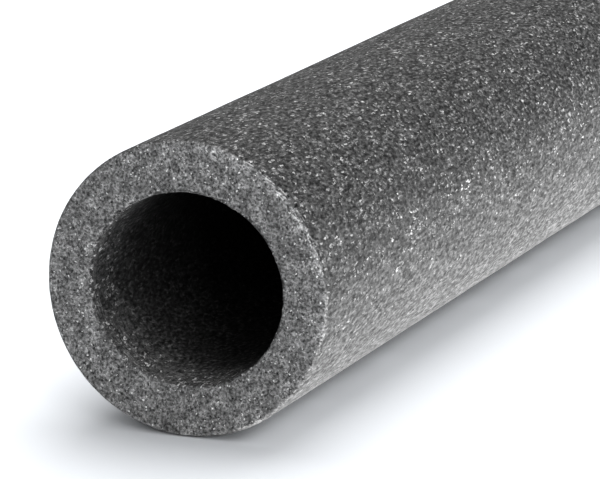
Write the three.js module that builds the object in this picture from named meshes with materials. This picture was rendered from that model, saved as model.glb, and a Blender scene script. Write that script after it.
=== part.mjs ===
// One length of unslit pipe insulation lagging: a single extruded tube of closed-cell
// polyethylene foam, cut square at both ends. It slides over a 35 mm pipe.
// Units are millimetres and +Z is up. The tube lies on a level floor along X, with its bore's
// axis on the X axis and its middle at the origin.
import * as THREE from "three";

// Driving dimensions
const LENGTH = 1000;
const BORE_DIAMETER = 35;
const WALL = 9;
// The knife leaves the skin's edge soft and the bore's edge nearly sharp.
const OUTER_EDGE_RADIUS = 0.8;
const BORE_EDGE_RADIUS = 0.5;

// Fineness of the faceted solid
const SIDES = 96;
const OUTER_EDGE_STEPS = 3;
const BORE_EDGE_STEPS = 2;

const boreRadius = BORE_DIAMETER / 2;
const outerRadius = boreRadius + WALL;

// A quarter turn of a rounded edge as points of (radius, place along the tube).
function roundedEdge(centreRadius, centreAlong, edgeRadius, startAngle, steps) {
  const arc = new THREE.EllipseCurve(
    centreRadius,
    centreAlong,
    edgeRadius,
    edgeRadius,
    startAngle,
    startAngle + Math.PI / 2,
  );
  return arc.getPoints(steps);
}

// The wall cut lengthwise: up the outside, across one end, down the bore and across the other.
function wallProfile() {
  const outerEdge = Math.min(OUTER_EDGE_RADIUS, WALL / 2);
  const boreEdge = Math.min(BORE_EDGE_RADIUS, WALL / 2);
  const endOuter = LENGTH / 2 - outerEdge;
  const endBore = LENGTH / 2 - boreEdge;
  const skin = outerRadius - outerEdge;
  const bore = boreRadius + boreEdge;
  const points = [
    ...roundedEdge(skin, -endOuter, outerEdge, -Math.PI / 2, OUTER_EDGE_STEPS),
    ...roundedEdge(skin, endOuter, outerEdge, 0, OUTER_EDGE_STEPS),
    ...roundedEdge(bore, endBore, boreEdge, Math.PI / 2, BORE_EDGE_STEPS),
    ...roundedEdge(bore, -endBore, boreEdge, Math.PI, BORE_EDGE_STEPS),
  ];
  return [...points, points[0].clone()];
}

// Half a facet's turn puts a facet, and not an edge, on the floor.
function foamTube() {
  const halfFacet = Math.PI / SIDES;
  const geometry = new THREE.LatheGeometry(wallProfile(), SIDES, halfFacet, 2 * Math.PI);
  const foam = new THREE.MeshStandardMaterial({
    color: 0x5c5c5c,
    roughness: 0.85,
    metalness: 0,
  });
  const tube = new THREE.Mesh(geometry, foam);
  tube.name = "foam_tube";
  tube.rotation.z = -Math.PI / 2;
  return tube;
}

const lagging = new THREE.Group();
lagging.add(foamTube());

export default lagging;
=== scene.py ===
"""A metre of dark grey foam pipe lagging, lying on a pale floor with its cut end to the camera."""

import bpy
import numpy as np
from mathutils import Matrix, Vector


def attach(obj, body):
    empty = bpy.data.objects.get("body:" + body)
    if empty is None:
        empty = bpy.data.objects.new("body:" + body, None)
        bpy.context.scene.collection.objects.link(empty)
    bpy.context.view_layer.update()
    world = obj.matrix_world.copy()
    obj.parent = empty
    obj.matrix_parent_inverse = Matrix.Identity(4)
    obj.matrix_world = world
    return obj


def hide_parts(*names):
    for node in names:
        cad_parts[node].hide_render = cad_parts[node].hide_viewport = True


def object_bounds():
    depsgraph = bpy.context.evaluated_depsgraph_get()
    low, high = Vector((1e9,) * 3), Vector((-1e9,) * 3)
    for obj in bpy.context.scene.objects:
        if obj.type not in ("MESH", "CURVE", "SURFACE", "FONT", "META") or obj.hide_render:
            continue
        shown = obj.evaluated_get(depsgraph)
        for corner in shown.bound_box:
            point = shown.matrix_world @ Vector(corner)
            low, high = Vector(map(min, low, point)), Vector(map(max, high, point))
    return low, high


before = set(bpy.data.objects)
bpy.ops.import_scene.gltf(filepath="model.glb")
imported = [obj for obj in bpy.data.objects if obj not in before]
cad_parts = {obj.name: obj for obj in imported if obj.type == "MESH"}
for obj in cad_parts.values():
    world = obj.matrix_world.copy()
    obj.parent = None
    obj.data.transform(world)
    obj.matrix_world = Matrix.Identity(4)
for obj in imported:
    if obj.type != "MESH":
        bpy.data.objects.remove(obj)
cad_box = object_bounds()


# The lagging: one extruded tube of closed-cell polyethylene foam, 53 mm outside with a 35 mm
# bore, drawn through a die and then chopped to a metre with a knife. The walls keep a lumpy
# skin. The cuts are open cells, rounded at the skin and left ragged round the bore.
TUBE_LENGTH = 1.0
SKIN_RADIUS = 0.02645
BORE_RADIUS = 0.0175
BORE_OVALITY = 0.02
SKIN_EDGE = 0.0008
BORE_EDGE = 0.0003
# Depths of the relief
CUT_ROUGHNESS = 0.00016
KNIFE_WANDER = 0.00022
SKIN_LUMPS = 0.00013
BORE_RAGGED = 0.0006
# Sizes of the relief's lumps across the surface, the coarse one first
SKIN_LUMP_SIZES = (0.009, 0.0024)
TORN_CELL_SIZES = (0.0011, 0.0006)
WANDER_SIZE = 0.012
# How far a cut takes to reach its full roughness, and the ragged edge's share of the wall
CUT_FADE = 0.0006
RAGGED_SHARE = 0.07
# Fineness of the mesh: points round the tube, on the rounded edges and across a cut, and the
# spacing along the walls, as its first step, its growth and its largest step
AROUND = 400
SKIN_EDGE_POINTS = 9
BORE_EDGE_POINTS = 5
CUT_SPACING = 0.00024
SKIN_STEPS = (0.0003, 1.2, 0.016)
BORE_STEPS = (0.0003, 1.3, 0.05)
# Heights of the bands on the unrolled map: skin, bore and cut, with a gap between them
BAND_HEIGHTS = (0.262, 0.262, 0.172, 0.172, 0.06, 0.06)
BAND_GAP = 0.002
MAP_MARGIN = 0.001


def growing_steps(length, first, growth, largest):
    """Places from 0 to length whose spacing starts at first and grows by a ratio up to largest."""
    steps = np.minimum(first * growth ** np.arange(400), largest)
    places = np.concatenate([[0.0], np.cumsum(steps)])
    places = places[: np.searchsorted(places, length) + 1]
    return places * (length / places[-1])


def quarter_turn(centre_r, centre_x, radius, start, count):
    """Points (r, x) of a quarter circle about a centre, turning to larger x, then smaller r."""
    turn = start + np.linspace(0, np.pi / 2, count)
    return centre_r + radius * np.cos(turn), centre_x + radius * np.sin(turn)


def cut_profile():
    """The far cut from the skin to the bore, as r, x and the distance run along it: a rounded
    edge, a flat and a small rounded edge."""
    r1, x1 = quarter_turn(
        SKIN_RADIUS - SKIN_EDGE,
        TUBE_LENGTH / 2 - SKIN_EDGE,
        SKIN_EDGE,
        0,
        SKIN_EDGE_POINTS,
    )
    r3, x3 = quarter_turn(
        BORE_RADIUS + BORE_EDGE,
        TUBE_LENGTH / 2 - BORE_EDGE,
        BORE_EDGE,
        np.pi / 2,
        BORE_EDGE_POINTS,
    )
    flat = SKIN_RADIUS - SKIN_EDGE - BORE_RADIUS - BORE_EDGE
    share = np.linspace(0, 1, int(round(flat / CUT_SPACING)) + 1)[1:-1]
    r = np.concatenate([r1, SKIN_RADIUS - SKIN_EDGE - share * flat, r3])
    x = np.concatenate([x1, np.full(len(share), TUBE_LENGTH / 2), x3])
    run = np.concatenate([[0], np.cumsum(np.hypot(np.diff(r), np.diff(x)))])
    return r, x, run


def wall_outline():
    """The wall cut lengthwise, as one closed outline through the far cut, bore, near cut and skin:
    r, x, the run across a cut from the skin, and the distance inside a cut's nearer edge, which
    is negative along the skin and the bore."""
    r, x, run = cut_profile()
    half_bore = growing_steps(x[-1], *BORE_STEPS)
    half_skin = growing_steps(x[0], *SKIN_STEPS)
    bore_x = np.concatenate([x[-1] - half_bore, half_bore[::-1][1:] - x[-1]])[1:-1]
    skin_x = -np.concatenate([x[0] - half_skin, half_skin[::-1][1:] - x[0]])[1:-1]
    inside = np.minimum(run, run[-1] - run)
    stretches = [
        (r, x, run, inside),
        (
            np.full(len(bore_x), r[-1]),
            bore_x,
            np.full(len(bore_x), run[-1]),
            np.abs(bore_x) - x[-1],
        ),
        (r[::-1], -x[::-1], run[::-1], inside[::-1]),
        (
            np.full(len(skin_x), r[0]),
            skin_x,
            np.zeros(len(skin_x)),
            np.abs(skin_x) - x[0],
        ),
    ]
    return [np.concatenate(column) for column in zip(*stretches)]


def smooth_noise(points, size, seed):
    """A smooth random field from -1 to 1: a random value on each corner of a lattice of that
    size, blended between the eight corners of a cell by a smooth step along each axis."""
    scaled = points / size
    cell = np.floor(scaled).astype(np.int64)
    part = scaled - cell
    part = part * part * (3 - 2 * part)
    total = 0.0
    for corner in np.ndindex(2, 2, 2):
        at = cell + np.array(corner)
        mixed = at @ np.array([73856093, 19349663, 83492791]) + seed * 50331653
        mixed = (mixed ^ (mixed >> 15)) * 2246822519 & 0xFFFFFFFF
        mixed = (mixed ^ (mixed >> 13)) * 3266489917 & 0xFFFFFFFF
        value = (mixed ^ (mixed >> 16)) / 0x7FFFFFFF - 1
        total = total + np.prod(np.where(corner, part, 1 - part), axis=-1) * value
    return total


def tube_points(r, x, inside):
    """The outline turned about the X axis, as a grid of points (place on the outline, turn), each
    pushed a little into the foam along the outline's normal: by lumps on the skin and in the
    bore, and by torn cells and the knife's wander on a cut. The bore is widened to an oval."""
    turn = np.arange(AROUND) * 2 * np.pi / AROUND - np.pi / 2
    along = np.gradient(np.concatenate([[x[-1]], x, [x[0]]]))[1:-1]
    outward = np.gradient(np.concatenate([[r[-1]], r, [r[0]]]))[1:-1]
    length = np.hypot(along, outward)
    base = np.stack(
        [
            np.repeat(x[:, None], AROUND, axis=1),
            r[:, None] * np.cos(turn),
            r[:, None] * np.sin(turn),
        ],
        axis=-1,
    )
    bore_share = ((SKIN_RADIUS - r) / (SKIN_RADIUS - BORE_RADIUS))[:, None]
    cut_share = np.clip(inside / CUT_FADE + 0.2, 0, 1)[:, None]
    lumps = 0.65 * smooth_noise(base * (0.5, 1, 1), SKIN_LUMP_SIZES[0], 1)
    lumps += 0.35 * smooth_noise(base, SKIN_LUMP_SIZES[1], 2)
    torn = 0.6 * smooth_noise(base, TORN_CELL_SIZES[0], 3)
    torn += 0.4 * smooth_noise(base, TORN_CELL_SIZES[1], 4)
    wander = smooth_noise(base, WANDER_SIZE, 5)
    depth = (1 - cut_share) * SKIN_LUMPS * (0.5 + 0.5 * lumps)
    depth += cut_share * CUT_ROUGHNESS * (0.6 + 0.6 * torn)
    depth += cut_share * KNIFE_WANDER * (0.5 + 0.5 * wander)
    at_bore_edge = np.exp(-(((bore_share - 1) / RAGGED_SHARE) ** 2)) * (cut_share > 0)
    depth = np.maximum(depth + at_bore_edge * BORE_RAGGED * (0.5 + torn), 0)
    new_r = r[:, None] - depth * (along / length)[:, None]
    new_x = x[:, None] + depth * (outward / length)[:, None]
    oval = BORE_OVALITY * bore_share
    return np.stack(
        [
            new_x,
            new_r * np.cos(turn) * (1 + oval),
            new_r * np.sin(turn) * (1 - oval),
        ],
        axis=-1,
    )


def unrolled(r, x, run):
    """A map of the tube without overlap. Each half of the skin and of the bore is unrolled to a
    band as wide as the map. Each cut is unrolled too, round the width, at a finer scale."""
    here, there = np.arange(len(r)), (np.arange(len(r)) + 1) % len(r)
    far_side = x[here] + x[there] > 0
    on_cut = run[here] != run[there]
    on_bore = r[here] + r[there] < 2 * BORE_RADIUS + 1e-5
    band = np.where(on_cut, 4, np.where(on_bore, 2, 0)) + far_side
    heights = np.array(BAND_HEIGHTS)
    starts = np.concatenate([[0], np.cumsum(heights + BAND_GAP)])[:-1]
    turns = np.arange(AROUND + 1) / AROUND

    def corners(ring, column):
        """Each face corner's place: across the map by its place along the tube, or by its turn
        on a cut, and up its band by its turn, or by its run across the cut."""
        along = np.where(far_side, x[ring], x[ring] + TUBE_LENGTH / 2) * 2 / TUBE_LENGTH
        across = np.where(on_cut[:, None], turns[column], along[:, None])
        up = np.where(on_cut[:, None], run[ring][:, None] / run.max(), turns[column])
        return np.stack(
            [
                across * (1 - 2 * MAP_MARGIN) + MAP_MARGIN,
                starts[band][:, None] + up * heights[band][:, None],
            ],
            axis=-1,
        )

    left, right = np.arange(AROUND), np.arange(AROUND) + 1
    order = ((here, left), (here, right), (there, right), (there, left))
    return np.stack([corners(*corner) for corner in order], axis=2)


def closed_grid(name, points, marks, uv):
    """One closed mesh of a grid that joins up in both directions, with a value in millimetres on
    each ring of points and a place on the unrolled map for each corner of each face."""
    rings, columns = points.shape[:2]
    i, j = np.meshgrid(np.arange(rings), np.arange(columns), indexing="ij")
    below, beside = (i + 1) % rings, (j + 1) % columns
    order = ((i, j), (i, beside), (below, beside), (below, j))
    faces = np.stack([row * columns + column for row, column in order], axis=-1)
    mesh = bpy.data.meshes.new(name)
    mesh.from_pydata(points.reshape(-1, 3), [], faces.reshape(-1, 4))
    mesh.shade_smooth()
    mark = mesh.attributes.new("inside_cut_mm", "FLOAT", "POINT")
    mark.data.foreach_set(
        "value", np.repeat(marks * 1000, columns).astype(np.float32)
    )
    layer = mesh.uv_layers.new(name="OFBake")
    layer.data.foreach_set("uv", uv.astype(np.float32).ravel())
    mesh.update()
    return mesh


outline_r, outline_x, outline_run, outline_inside = wall_outline()
tube_mesh = closed_grid(
    "lagging",
    tube_points(outline_r, outline_x, outline_inside),
    outline_inside,
    unrolled(outline_r, outline_x, outline_run),
)
tube = bpy.data.objects.new("foam_lagging", tube_mesh)
bpy.context.scene.collection.objects.link(tube)
print("lagging: rings", len(outline_r), "triangles", 2 * len(tube_mesh.polygons))


def srgb(hex_colour):
    """Linear red, green, blue and alpha of an sRGB hex colour."""
    channels = np.array([int(hex_colour[i : i + 2], 16) for i in (0, 2, 4)]) / 255
    linear = np.where(
        channels <= 0.04045, channels / 12.92, ((channels + 0.055) / 1.055) ** 2.4
    )
    return (*linear, 1.0)


def add_node(material, kind, inputs, **settings):
    """Adds a node to a material or to the world and sets it up. Each input takes a value, a
    socket, or a node, which stands for its first output."""
    made = material.node_tree.nodes.new("ShaderNode" + kind)
    for name, value in settings.items():
        setattr(made, name, value)
    for name, value in inputs.items():
        if isinstance(value, bpy.types.Node):
            value = value.outputs[0]
        if isinstance(value, bpy.types.NodeSocket):
            material.node_tree.links.new(value, made.inputs[name])
        else:
            made.inputs[name].default_value = value
    return made


# Closed-cell polyethylene foam, extruded, filled with charcoal. Cells are 0.5 to 1 mm across. A
# cut opens them: pits between paler walls, the pits darkened as painted shade, with pale flecks
# painted on as highlights of torn films catching the light. Under the skin they show as bubbles,
# which the die draws out to about twice their width along the tube.
# Patterns are worked in millimetres, so a scale of 1.15 is a cell of 0.87 mm.
CELL_SHADE = "0a0a0a"
CELL_WALL = "c7c7c7"
CUT_PAINTED_HIGHLIGHT = "e6e6e6"
SKIN_SHADE = "060606"
SKIN_LIGHT = "808080"
SKIN_GLINT = "dedede"
RIM_PAINTED_HIGHLIGHT = "e0e0e0"
foam = bpy.data.materials.new("closed_cell_polyethylene_foam")
foam.use_nodes = True
shader = foam.node_tree.nodes["Principled BSDF"]
place = add_node(foam, "TexCoord", {}).outputs["Object"]
mm = add_node(foam, "VectorMath", {0: place, 1: (1e3, 1e3, 1e3)}, operation="MULTIPLY")
drawn = add_node(foam, "VectorMath", {0: mm, 1: (0.46, 1, 1)}, operation="MULTIPLY")
inside = add_node(
    foam, "Attribute", {}, attribute_name="inside_cut_mm", attribute_type="GEOMETRY"
).outputs["Fac"]
axes = add_node(foam, "SeparateXYZ", {0: mm})
from_axis = add_node(foam, "VectorMath", {0: mm, 1: (0, 1, 1)}, operation="MULTIPLY")
radius = add_node(foam, "VectorMath", {0: from_axis}, operation="LENGTH").outputs["Value"]

# The cut's grain: a fine mottle, with round pits of 0.5 mm and walls that wander between them.
# The pits are darkened in the colour as painted shade.
grain = add_node(foam, "TexNoise", {"Vector": mm, "Scale": 2.3, "Detail": 3, "Roughness": 0.6})
clouds = add_node(foam, "TexNoise", {"Vector": mm, "Scale": 0.42, "Detail": 2})
bend = add_node(
    foam,
    "VectorMath",
    {0: grain.outputs["Color"], 1: (0.9, 0.9, 0.9), 2: mm},
    operation="MULTIPLY_ADD",
)
cells = add_node(foam, "TexVoronoi", {"Vector": bend, "Scale": 1.15})
pit = add_node(
    foam,
    "MapRange",
    {0: cells.outputs["Distance"], 1: 0.08, 2: 0.33, 3: 1, 4: 0},
    interpolation_type="SMOOTHSTEP",
)
lace = add_node(
    foam, "TexVoronoi", {"Vector": bend, "Scale": 1.15}, feature="DISTANCE_TO_EDGE"
)
lace = add_node(
    foam,
    "MapRange",
    {0: lace, 1: 0.0, 2: 0.13, 3: 1, 4: 0},
    interpolation_type="SMOOTHSTEP",
)
lace_part = add_node(foam, "MapRange", {0: clouds, 1: 0.42, 2: 0.6, 3: 0, 4: 1})
wall = add_node(foam, "Math", {0: lace, 1: lace_part}, operation="MULTIPLY")
# Flecks: small pale spots on the cut, painted highlights.
flecks = add_node(foam, "TexVoronoi", {"Vector": bend, "Scale": 1.6})
fleck_pick = add_node(foam, "SeparateColor", {0: flecks.outputs["Color"]})
fleck_size = add_node(
    foam,
    "MapRange",
    {0: flecks.outputs["Distance"], 1: 0.1, 2: 0.34, 3: 1, 4: 0},
    interpolation_type="SMOOTHSTEP",
)
fleck_some = add_node(foam, "MapRange", {0: fleck_pick, 1: 0.62, 2: 1.0, 3: 0, 4: 1})
cut_painted_highlight = add_node(foam, "Math", {0: fleck_size, 1: fleck_some}, operation="MULTIPLY")

cut_sum = add_node(foam, "Math", {0: grain, 1: 5.4, 2: -2.4}, operation="MULTIPLY_ADD")
cut_sum = add_node(foam, "Math", {0: clouds, 1: 0.9, 2: cut_sum}, operation="MULTIPLY_ADD")
# The pits darken the cut's colour: painted shade in the cell hollows.
cut_sum = add_node(foam, "Math", {0: pit, 1: -0.7, 2: cut_sum}, operation="MULTIPLY_ADD")
cut_sum = add_node(foam, "Math", {0: wall, 1: 1.0, 2: cut_sum}, operation="MULTIPLY_ADD")
cut_tone = add_node(foam, "MapRange", {0: cut_sum, 1: -1.2, 2: 3.2, 3: 0, 4: 1})
cut_tone = add_node(foam, "Math", {0: cut_tone, 1: 2}, operation="POWER")
cut_dark = add_node(
    foam,
    "Mix",
    {0: cut_tone, 6: srgb(CELL_SHADE), 7: srgb(CELL_WALL)},
    data_type="RGBA",
)
# The pale flecks are mixed into the cut's colour as painted highlights.
cut_colour = add_node(
    foam,
    "Mix",
    {0: cut_painted_highlight, 6: cut_dark.outputs[2], 7: srgb(CUT_PAINTED_HIGHLIGHT)},
    data_type="RGBA",
)

# The skin: bubbles a shade apart, their rims broken into short pale strokes, fine dark lines
# drawn along the tube, and glints on the bubbles. The strokes and glints are painted highlights.
# Towards the bottom they fade, and blotches and dark pits take their place; the pits are darkened
# as painted shade.
ripple = add_node(
    foam, "TexNoise", {"Vector": drawn, "Scale": 1.7, "Detail": 2, "Roughness": 0.6}
)
mottle = add_node(foam, "TexNoise", {"Vector": drawn, "Scale": 0.3, "Detail": 2})
lines_at = add_node(foam, "VectorMath", {0: mm, 1: (0.1, 1.3, 1.3)}, operation="MULTIPLY")
die_lines = add_node(foam, "TexNoise", {"Vector": lines_at, "Scale": 1.0, "Detail": 2})
sway = add_node(
    foam,
    "VectorMath",
    {0: ripple.outputs["Color"], 1: (1.5, 1.5, 1.5), 2: drawn},
    operation="MULTIPLY_ADD",
)
bubbles = add_node(foam, "TexVoronoi", {"Vector": sway, "Scale": 0.8})
bubble = add_node(
    foam,
    "MapRange",
    {0: bubbles.outputs["Distance"], 1: 0.0, 2: 0.6, 3: 1, 4: 0},
    interpolation_type="SMOOTHSTEP",
)
rim_step = add_node(
    foam, "Math", {0: bubbles.outputs["Distance"], 1: 0.36}, operation="SUBTRACT"
)
rim_off = add_node(foam, "Math", {0: rim_step}, operation="ABSOLUTE")
rim_line = add_node(
    foam,
    "MapRange",
    {0: rim_off, 1: 0.02, 2: 0.11, 3: 1, 4: 0},
    interpolation_type="SMOOTHSTEP",
)
rim_part = add_node(foam, "MapRange", {0: ripple, 1: 0.48, 2: 0.62, 3: 0, 4: 1})
stroke = add_node(foam, "Math", {0: rim_line, 1: rim_part}, operation="MULTIPLY")
glints = add_node(foam, "TexVoronoi", {"Vector": sway, "Scale": 1.35})
glint_pick = add_node(foam, "SeparateColor", {0: glints.outputs["Color"]})
glint_size = add_node(
    foam,
    "MapRange",
    {0: glints.outputs["Distance"], 1: 0.1, 2: 0.46, 3: 1, 4: 0},
    interpolation_type="SMOOTHSTEP",
)
glint_some = add_node(foam, "MapRange", {0: glint_pick, 1: 0.3, 2: 1.0, 3: 0, 4: 1})
glint_some = add_node(foam, "Math", {0: glint_some, 1: 1.5}, operation="POWER")
glint_patch = add_node(foam, "MapRange", {0: mottle, 1: 0.36, 2: 0.62, 3: 0.4, 4: 1.2})
glint_some = add_node(foam, "Math", {0: glint_some, 1: glint_patch}, operation="MULTIPLY")
# Towards the bottom the painted highlights fade to a fifth; not in the bore.
underneath = add_node(
    foam,
    "MapRange",
    {0: axes.outputs["Z"], 1: -12, 2: 22, 3: 0.2, 4: 1},
    interpolation_type="SMOOTHSTEP",
)
in_bore = add_node(foam, "MapRange", {0: radius, 1: 19.0, 2: 20.0, 3: 1, 4: 0})
shown = add_node(foam, "Math", {0: underneath, 1: in_bore}, operation="MAXIMUM")
glint = add_node(foam, "Math", {0: glint_size, 1: glint_some}, operation="MULTIPLY")
glint = add_node(foam, "Math", {0: glint, 1: shown}, operation="MULTIPLY")
stroke = add_node(foam, "Math", {0: stroke, 1: shown}, operation="MULTIPLY")
# Pits darken the skin's colour, more towards the bottom: painted shade.
pitted = add_node(foam, "MapRange", {0: shown, 1: 0, 2: 1, 3: -1.1, 4: -0.6})
# In the bore the painted glints are brighter at the mouth and fade deeper in: painted light and
# shade.
mouth_glints = add_node(
    foam,
    "MapRange",
    {0: inside, 1: -14, 2: -0.5, 3: -0.85, 4: 2.4},
    interpolation_type="SMOOTHSTEP",
)
deep = add_node(foam, "Math", {0: in_bore, 1: mouth_glints, 2: 1}, operation="MULTIPLY_ADD")
glint = add_node(foam, "Math", {0: glint, 1: deep}, operation="MULTIPLY", use_clamp=True)

blotch = add_node(
    foam, "TexNoise", {"Vector": drawn, "Scale": 1.4, "Detail": 3, "Roughness": 0.6}
)
skin_pit = add_node(foam, "Mix", {0: shown, 2: glint_size, 3: pit}, data_type="FLOAT")
skin_base = add_node(foam, "Mix", {0: shown, 2: blotch, 3: ripple}, data_type="FLOAT")
skin_sum = add_node(foam, "Math", {0: skin_base, 1: 6.8, 2: -3.4}, operation="MULTIPLY_ADD")
skin_sum = add_node(foam, "Math", {0: mottle, 1: 0.8, 2: skin_sum}, operation="MULTIPLY_ADD")
skin_sum = add_node(foam, "Math", {0: die_lines, 1: 0.7, 2: skin_sum}, operation="MULTIPLY_ADD")
skin_sum = add_node(foam, "Math", {0: stroke, 1: 1.6, 2: skin_sum}, operation="MULTIPLY_ADD")
skin_sum = add_node(foam, "Math", {0: skin_pit, 1: pitted, 2: skin_sum}, operation="MULTIPLY_ADD")
skin_tone = add_node(foam, "MapRange", {0: skin_sum, 1: -1.45, 2: 3.3, 3: 0, 4: 1})
skin_tone = add_node(foam, "Math", {0: skin_tone, 1: 2}, operation="POWER")
skin_dark = add_node(
    foam,
    "Mix",
    {0: skin_tone, 6: srgb(SKIN_SHADE), 7: srgb(SKIN_LIGHT)},
    data_type="RGBA",
)
# Glints mixed into the skin's colour: painted highlights.
skin_colour = add_node(
    foam,
    "Mix",
    {0: glint, 6: skin_dark.outputs[2], 7: srgb(SKIN_GLINT)},
    data_type="RGBA",
)

# The bore: for about 14 mm its mouth is scratched round, down to open cells, where pipe has gone
# in. Its wall is the skin without scratches, darkened the deeper it lies as painted shade, its
# glints brighter at the mouth and fading deeper in. Its bottom is painted paler and its top
# darker, painted light and shade.
mouth = add_node(
    foam,
    "MapRange",
    {0: inside, 1: -14, 2: -0.5, 3: 0, 4: 1},
    interpolation_type="SMOOTHSTEP",
)
mouth = add_node(foam, "Math", {0: mouth, 1: in_bore}, operation="MULTIPLY")
round_bore = add_node(foam, "VectorMath", {0: mm, 1: (1.2, 0.2, 0.2)}, operation="MULTIPLY")
scratches = add_node(foam, "TexNoise", {"Vector": round_bore, "Scale": 1.5, "Detail": 3})
scratch = add_node(
    foam,
    "MapRange",
    {0: scratches, 1: 0.5, 2: 0.66, 3: 0.1, 4: 1.0},
    interpolation_type="SMOOTHSTEP",
)
scuff = add_node(foam, "Math", {0: scratch, 1: mouth}, operation="MULTIPLY")
wall_colour = add_node(
    foam,
    "Mix",
    {0: scuff, 6: skin_colour.outputs[2], 7: cut_colour.outputs[2]},
    data_type="RGBA",
)
# Painted shade: the bore's colour darker the deeper it lies.
bore_painted_light_and_shade = add_node(
    foam,
    "MapRange",
    {0: inside, 1: -25, 2: -0.5, 3: 0.18, 4: 0.66},
    interpolation_type="SMOOTHSTEP",
)
# Painted light and shade: the bore paler at its bottom, darker at its top.
bore_painted_light_low = add_node(
    foam,
    "MapRange",
    {0: axes.outputs["Z"], 1: -16, 2: 0, 3: 1.3, 4: 0.56},
    interpolation_type="SMOOTHSTEP",
)
bore_painted_light_and_shade = add_node(foam, "Math", {0: bore_painted_light_and_shade, 1: bore_painted_light_low}, operation="MULTIPLY")
bore_wall = add_node(foam, "MapRange", {0: inside, 1: -0.3, 2: 0.3, 3: 1, 4: 0})
bore_wall = add_node(foam, "Math", {0: bore_wall, 1: in_bore}, operation="MULTIPLY")
bore_painted_light_and_shade = add_node(foam, "Mix", {0: bore_wall, 2: 1.0, 3: bore_painted_light_and_shade}, data_type="FLOAT")

# The rim, where the knife pulled the skin over: a ragged border, a paler band on the rounded edge,
# painted light, and bright slivers that run round it, painted highlights. Both are painted only
# towards -Y and +Z, on the upper right of the near end, where the light catches the edge.
rag = add_node(foam, "TexNoise", {"Vector": mm, "Scale": 0.6, "Detail": 5, "Roughness": 0.75})
towards = add_node(
    foam, "VectorMath", {0: mm, 1: (0, -0.8, 0.6)}, operation="DOT_PRODUCT"
).outputs["Value"]
at_skin = add_node(foam, "MapRange", {0: radius, 1: 21.0, 2: 23.0, 3: 0, 4: 1})
wrap = add_node(
    foam,
    "MapRange",
    {0: towards, 1: 20, 2: 25.5, 3: -0.3, 4: -1.1},
    interpolation_type="SMOOTHSTEP",
)
wrap = add_node(foam, "Math", {0: wrap, 1: at_skin, 2: -1.25}, operation="MULTIPLY_ADD")
border = add_node(foam, "Math", {0: rag, 1: 2.2, 2: inside}, operation="MULTIPLY_ADD")
border = add_node(foam, "Math", {0: border, 1: wrap}, operation="ADD")
cut = add_node(
    foam,
    "MapRange",
    {0: border, 1: -0.45, 2: 0.4, 3: 0, 4: 1},
    interpolation_type="SMOOTHSTEP",
)
band = add_node(
    foam,
    "MapRange",
    {0: border, 1: 0.2, 2: 3.2, 3: 1, 4: 0},
    interpolation_type="SMOOTHSTEP",
)
near_border = add_node(foam, "Math", {0: border, 1: 0.2}, operation="SUBTRACT")
near_border = add_node(foam, "Math", {0: near_border}, operation="ABSOLUTE")
near_border = add_node(
    foam,
    "MapRange",
    {0: near_border, 1: 0.3, 2: 1.5, 3: 1, 4: 0},
    interpolation_type="SMOOTHSTEP",
)
# Painted light: the rim's band made lighter, and the skin just beside the border too.
rim_painted_light = add_node(foam, "Math", {0: band, 1: cut}, operation="MULTIPLY")
rim_painted_light = add_node(foam, "Math", {0: rim_painted_light, 1: near_border}, operation="MAXIMUM")
rim_painted_light = add_node(foam, "Math", {0: rim_painted_light, 1: at_skin}, operation="MULTIPLY")
# Only on the side towards -Y and +Z, where the light catches the rim.
lit_side = add_node(
    foam,
    "MapRange",
    {0: towards, 1: 9, 2: 22, 3: 0, 4: 1},
    interpolation_type="SMOOTHSTEP",
)
rim_painted_light = add_node(foam, "Math", {0: rim_painted_light, 1: lit_side}, operation="MULTIPLY")
# The rim's painted light and the bore's painted light and shade, multiplied into the colour.
painted_light_and_shade = add_node(foam, "Math", {0: rim_painted_light, 1: 0.5, 2: 1}, operation="MULTIPLY_ADD")
painted_light_and_shade = add_node(foam, "Math", {0: painted_light_and_shade, 1: bore_painted_light_and_shade}, operation="MULTIPLY")
painted_light_and_shade_rgb = add_node(foam, "CombineXYZ", {"X": painted_light_and_shade, "Y": painted_light_and_shade, "Z": painted_light_and_shade})
round_it = add_node(
    foam, "CombineXYZ", {"X": inside, "Y": axes.outputs["Y"], "Z": axes.outputs["Z"]}
)
slivers_at = add_node(
    foam, "VectorMath", {0: round_it, 1: (1.3, 0.3, 0.3)}, operation="MULTIPLY"
)
slivers = add_node(foam, "TexNoise", {"Vector": slivers_at, "Scale": 1.6, "Detail": 3})
sliver = add_node(
    foam,
    "MapRange",
    {0: slivers, 1: 0.53, 2: 0.64, 3: 0, 4: 1},
    interpolation_type="SMOOTHSTEP",
)
# The slivers: painted highlights round the rim.
rim_painted_highlight = add_node(foam, "Math", {0: sliver, 1: near_border}, operation="MULTIPLY")
rim_painted_highlight = add_node(foam, "Math", {0: rim_painted_highlight, 1: at_skin}, operation="MULTIPLY")
highlight_side = add_node(
    foam,
    "MapRange",
    {0: towards, 1: 19.5, 2: 25, 3: 0, 4: 0.9},
    interpolation_type="SMOOTHSTEP",
)
rim_painted_highlight = add_node(foam, "Math", {0: rim_painted_highlight, 1: highlight_side}, operation="MULTIPLY")
highlight_breakup = add_node(
    foam,
    "MapRange",
    {0: grain, 1: 0.42, 2: 0.56, 3: 0.15, 4: 1},
    interpolation_type="SMOOTHSTEP",
)
rim_painted_highlight = add_node(foam, "Math", {0: rim_painted_highlight, 1: highlight_breakup}, operation="MULTIPLY")
foam_colour = add_node(
    foam,
    "Mix",
    {0: cut, 6: wall_colour.outputs[2], 7: cut_colour.outputs[2]},
    data_type="RGBA",
)
foam_colour = add_node(
    foam,
    "Mix",
    {0: 1, 6: foam_colour.outputs[2], 7: painted_light_and_shade_rgb},
    data_type="RGBA",
    blend_type="MULTIPLY",
    clamp_factor=False,
)
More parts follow.
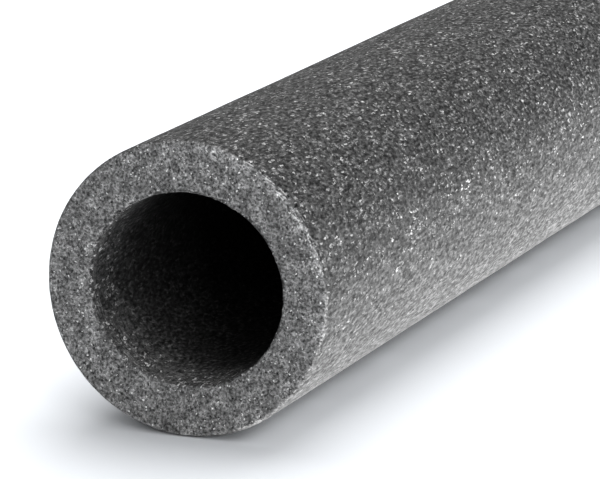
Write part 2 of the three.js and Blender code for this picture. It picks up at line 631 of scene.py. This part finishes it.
foam_colour = add_node(
    foam,
    "Mix",
    {0: rim_painted_highlight, 6: foam_colour.outputs[2], 7: srgb(RIM_PAINTED_HIGHLIGHT)},
    data_type="RGBA",
)
foam.node_tree.links.new(foam_colour.outputs[2], shader.inputs["Base Color"])

# Relief: the cut's grain and pits stand about 0.3 mm deep, the skin's bubbles a third of that.
cut_height = add_node(foam, "Math", {0: pit, 1: -0.8, 2: grain}, operation="MULTIPLY_ADD")
skin_height = add_node(foam, "Math", {0: bubble, 1: 0.45, 2: glint}, operation="MULTIPLY_ADD")
height = add_node(foam, "Mix", {0: cut, 2: skin_height, 3: cut_height}, data_type="FLOAT")
relief = add_node(
    foam, "Bump", {"Height": height.outputs[0], "Strength": 0.8, "Distance": 0.0003}
)
foam.node_tree.links.new(relief.outputs["Normal"], shader.inputs["Normal"])
dullness = add_node(foam, "MapRange", {0: glint, 1: 0, 2: 1, 3: 0.8, 4: 0.45})
foam.node_tree.links.new(dullness.outputs[0], shader.inputs["Roughness"])
shader.inputs["Diffuse Roughness"].default_value = 1.0
shader.inputs["IOR"].default_value = 1.5
shader.inputs["Specular IOR Level"].default_value = 0.05

tube_mesh.materials.append(foam)
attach(tube, "root")
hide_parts("foam_tube")


# The floor: a wide sheet of white card, matt, that the tube lies on. It runs out of view on
# every side, so it is the whole background too.
FLOOR_LEVEL = cad_box[0][2]
FLOOR_HALF = 6.0
FLOOR_SQUARES = 8
CARD_WHITE = "e7eaee"

floor_grid = np.linspace(-FLOOR_HALF, FLOOR_HALF, FLOOR_SQUARES + 1)
floor_y, floor_x = np.meshgrid(floor_grid, floor_grid, indexing="ij")
floor_points = np.stack(
    [floor_x, floor_y, np.full_like(floor_x, FLOOR_LEVEL)], axis=-1
)
floor_index = np.arange(floor_x.size).reshape(floor_x.shape)
floor_faces = np.stack(
    [floor_index[:-1, :-1], floor_index[:-1, 1:], floor_index[1:, 1:], floor_index[1:, :-1]],
    axis=-1,
)
floor_mesh = bpy.data.meshes.new("white_card")
floor_mesh.from_pydata(floor_points.reshape(-1, 3), [], floor_faces.reshape(-1, 4))
floor = bpy.data.objects.new("floor", floor_mesh)
bpy.context.scene.collection.objects.link(floor)
card = bpy.data.materials.new("matt_white_card")
card.use_nodes = True
card_shader = card.node_tree.nodes["Principled BSDF"]
card_shader.inputs["Base Color"].default_value = srgb(CARD_WHITE)
card_shader.inputs["Roughness"].default_value = 0.9
card_shader.inputs["Specular IOR Level"].default_value = 0.0
floor_mesh.materials.append(card)


# The studio light: a dim white surround, three soft boxes above and behind and three in front.
# The last is a light table under the card. Only the tube and a mask stop its light, and the
# mask keeps it to the tube's near side.
world = bpy.data.worlds.new("dim_white_surround")
bpy.context.scene.world = world
world.use_nodes = True
sky = world.node_tree.nodes["Background"]
sky.inputs["Color"].default_value = (1, 1, 1, 1)
seen = add_node(world, "LightPath", {}).outputs["Is Camera Ray"]
strength = add_node(world, "MapRange", {0: seen, 3: 0.33, 4: 1.0})
world.node_tree.links.new(strength.outputs[0], sky.inputs["Strength"])


def soft_box(name, place, aim, size, radiance):
    """A square area light at a place, facing a point. Its power is radiance times area times pi."""
    light = bpy.data.lights.new(name, "AREA")
    light.shape = "SQUARE"
    light.size = size
    light.energy = radiance * np.pi * size**2
    box = bpy.data.objects.new(name, light)
    box.location = place
    box.rotation_mode = "QUATERNION"
    box.rotation_quaternion = (Vector(place) - Vector(aim)).to_track_quat("Z", "Y")
    bpy.context.scene.collection.objects.link(box)
    return box


NEAR_END = (-TUBE_LENGTH / 2, 0, 0)
soft_box("overhead", (-0.4, -0.1, 1.3), NEAR_END, 1.6, 0.5)
soft_box("behind", (0.6, 0.6, 0.8), NEAR_END, 0.9, 2.2)
soft_box("behind_high", (0.1, 0.0, 1.2), NEAR_END, 1.2, 4.4)
soft_box("front_right", (-1.4, -0.9, 0.5), NEAR_END, 1.0, 0.9)
soft_box("low_right", (-1.4, -0.9, 0.25), NEAR_END, 0.5, 9.7)
soft_box("front", (-1.5, -0.4, 0.8), NEAR_END, 0.8, 1.0)
table = soft_box("light_table", (-0.35, -0.36, -0.68), (-0.4, 0, 0), 0.5, 84)
MASK_X = (-0.5, 0.8)
MASK_Y = (-0.013, 0.4)
MASK_Z = -0.03
mask_corners = [
    (MASK_X[0], MASK_Y[0], MASK_Z),
    (MASK_X[1], MASK_Y[0], MASK_Z),
    (MASK_X[1], MASK_Y[1], MASK_Z),
    (MASK_X[0], MASK_Y[1], MASK_Z),
]
mask_mesh = bpy.data.meshes.new("light_table_mask")
mask_mesh.from_pydata(mask_corners, [], [(0, 1, 2, 3)])
mask = bpy.data.objects.new("mask_under_card", mask_mesh)
bpy.context.scene.collection.objects.link(mask)
mask_mesh.materials.append(card)
lit_from_below = bpy.data.collections.new("lit_from_below")
lit_from_below.objects.link(tube)
lit_from_below.objects.link(mask)
table.light_linking.blocker_collection = lit_from_below


# The camera: a long lens, low and beyond the near end, looking along the tube's near side.
# Its place and turn are worked out from the outlines of the cut end and of the tube's sides.
CAMERA_PLACE = (-1.17799, -0.28793, 0.17343)
CAMERA_RIGHT = (0.36595, -0.93064, 0.0)
CAMERA_UP = (0.20281, 0.07975, 0.97596)
CAMERA_BACK = (-0.90827, -0.35715, 0.21793)
SENSOR_WIDTH_MM = 36
FOCAL_LENGTH_MM = 261.96
lens = bpy.data.cameras.new("long_lens")
lens.sensor_width = SENSOR_WIDTH_MM
lens.lens = FOCAL_LENGTH_MM
lens.clip_start = 0.05
lens.clip_end = 50
camera = bpy.data.objects.new("camera", lens)
bpy.context.scene.collection.objects.link(camera)
camera.matrix_world = Matrix(
    [
        (*row, place)
        for *row, place in zip(CAMERA_RIGHT, CAMERA_UP, CAMERA_BACK, CAMERA_PLACE)
    ]
    + [(0, 0, 0, 1)]
)
bpy.context.scene.camera = camera
bpy.context.scene.view_settings.view_transform = "Standard"
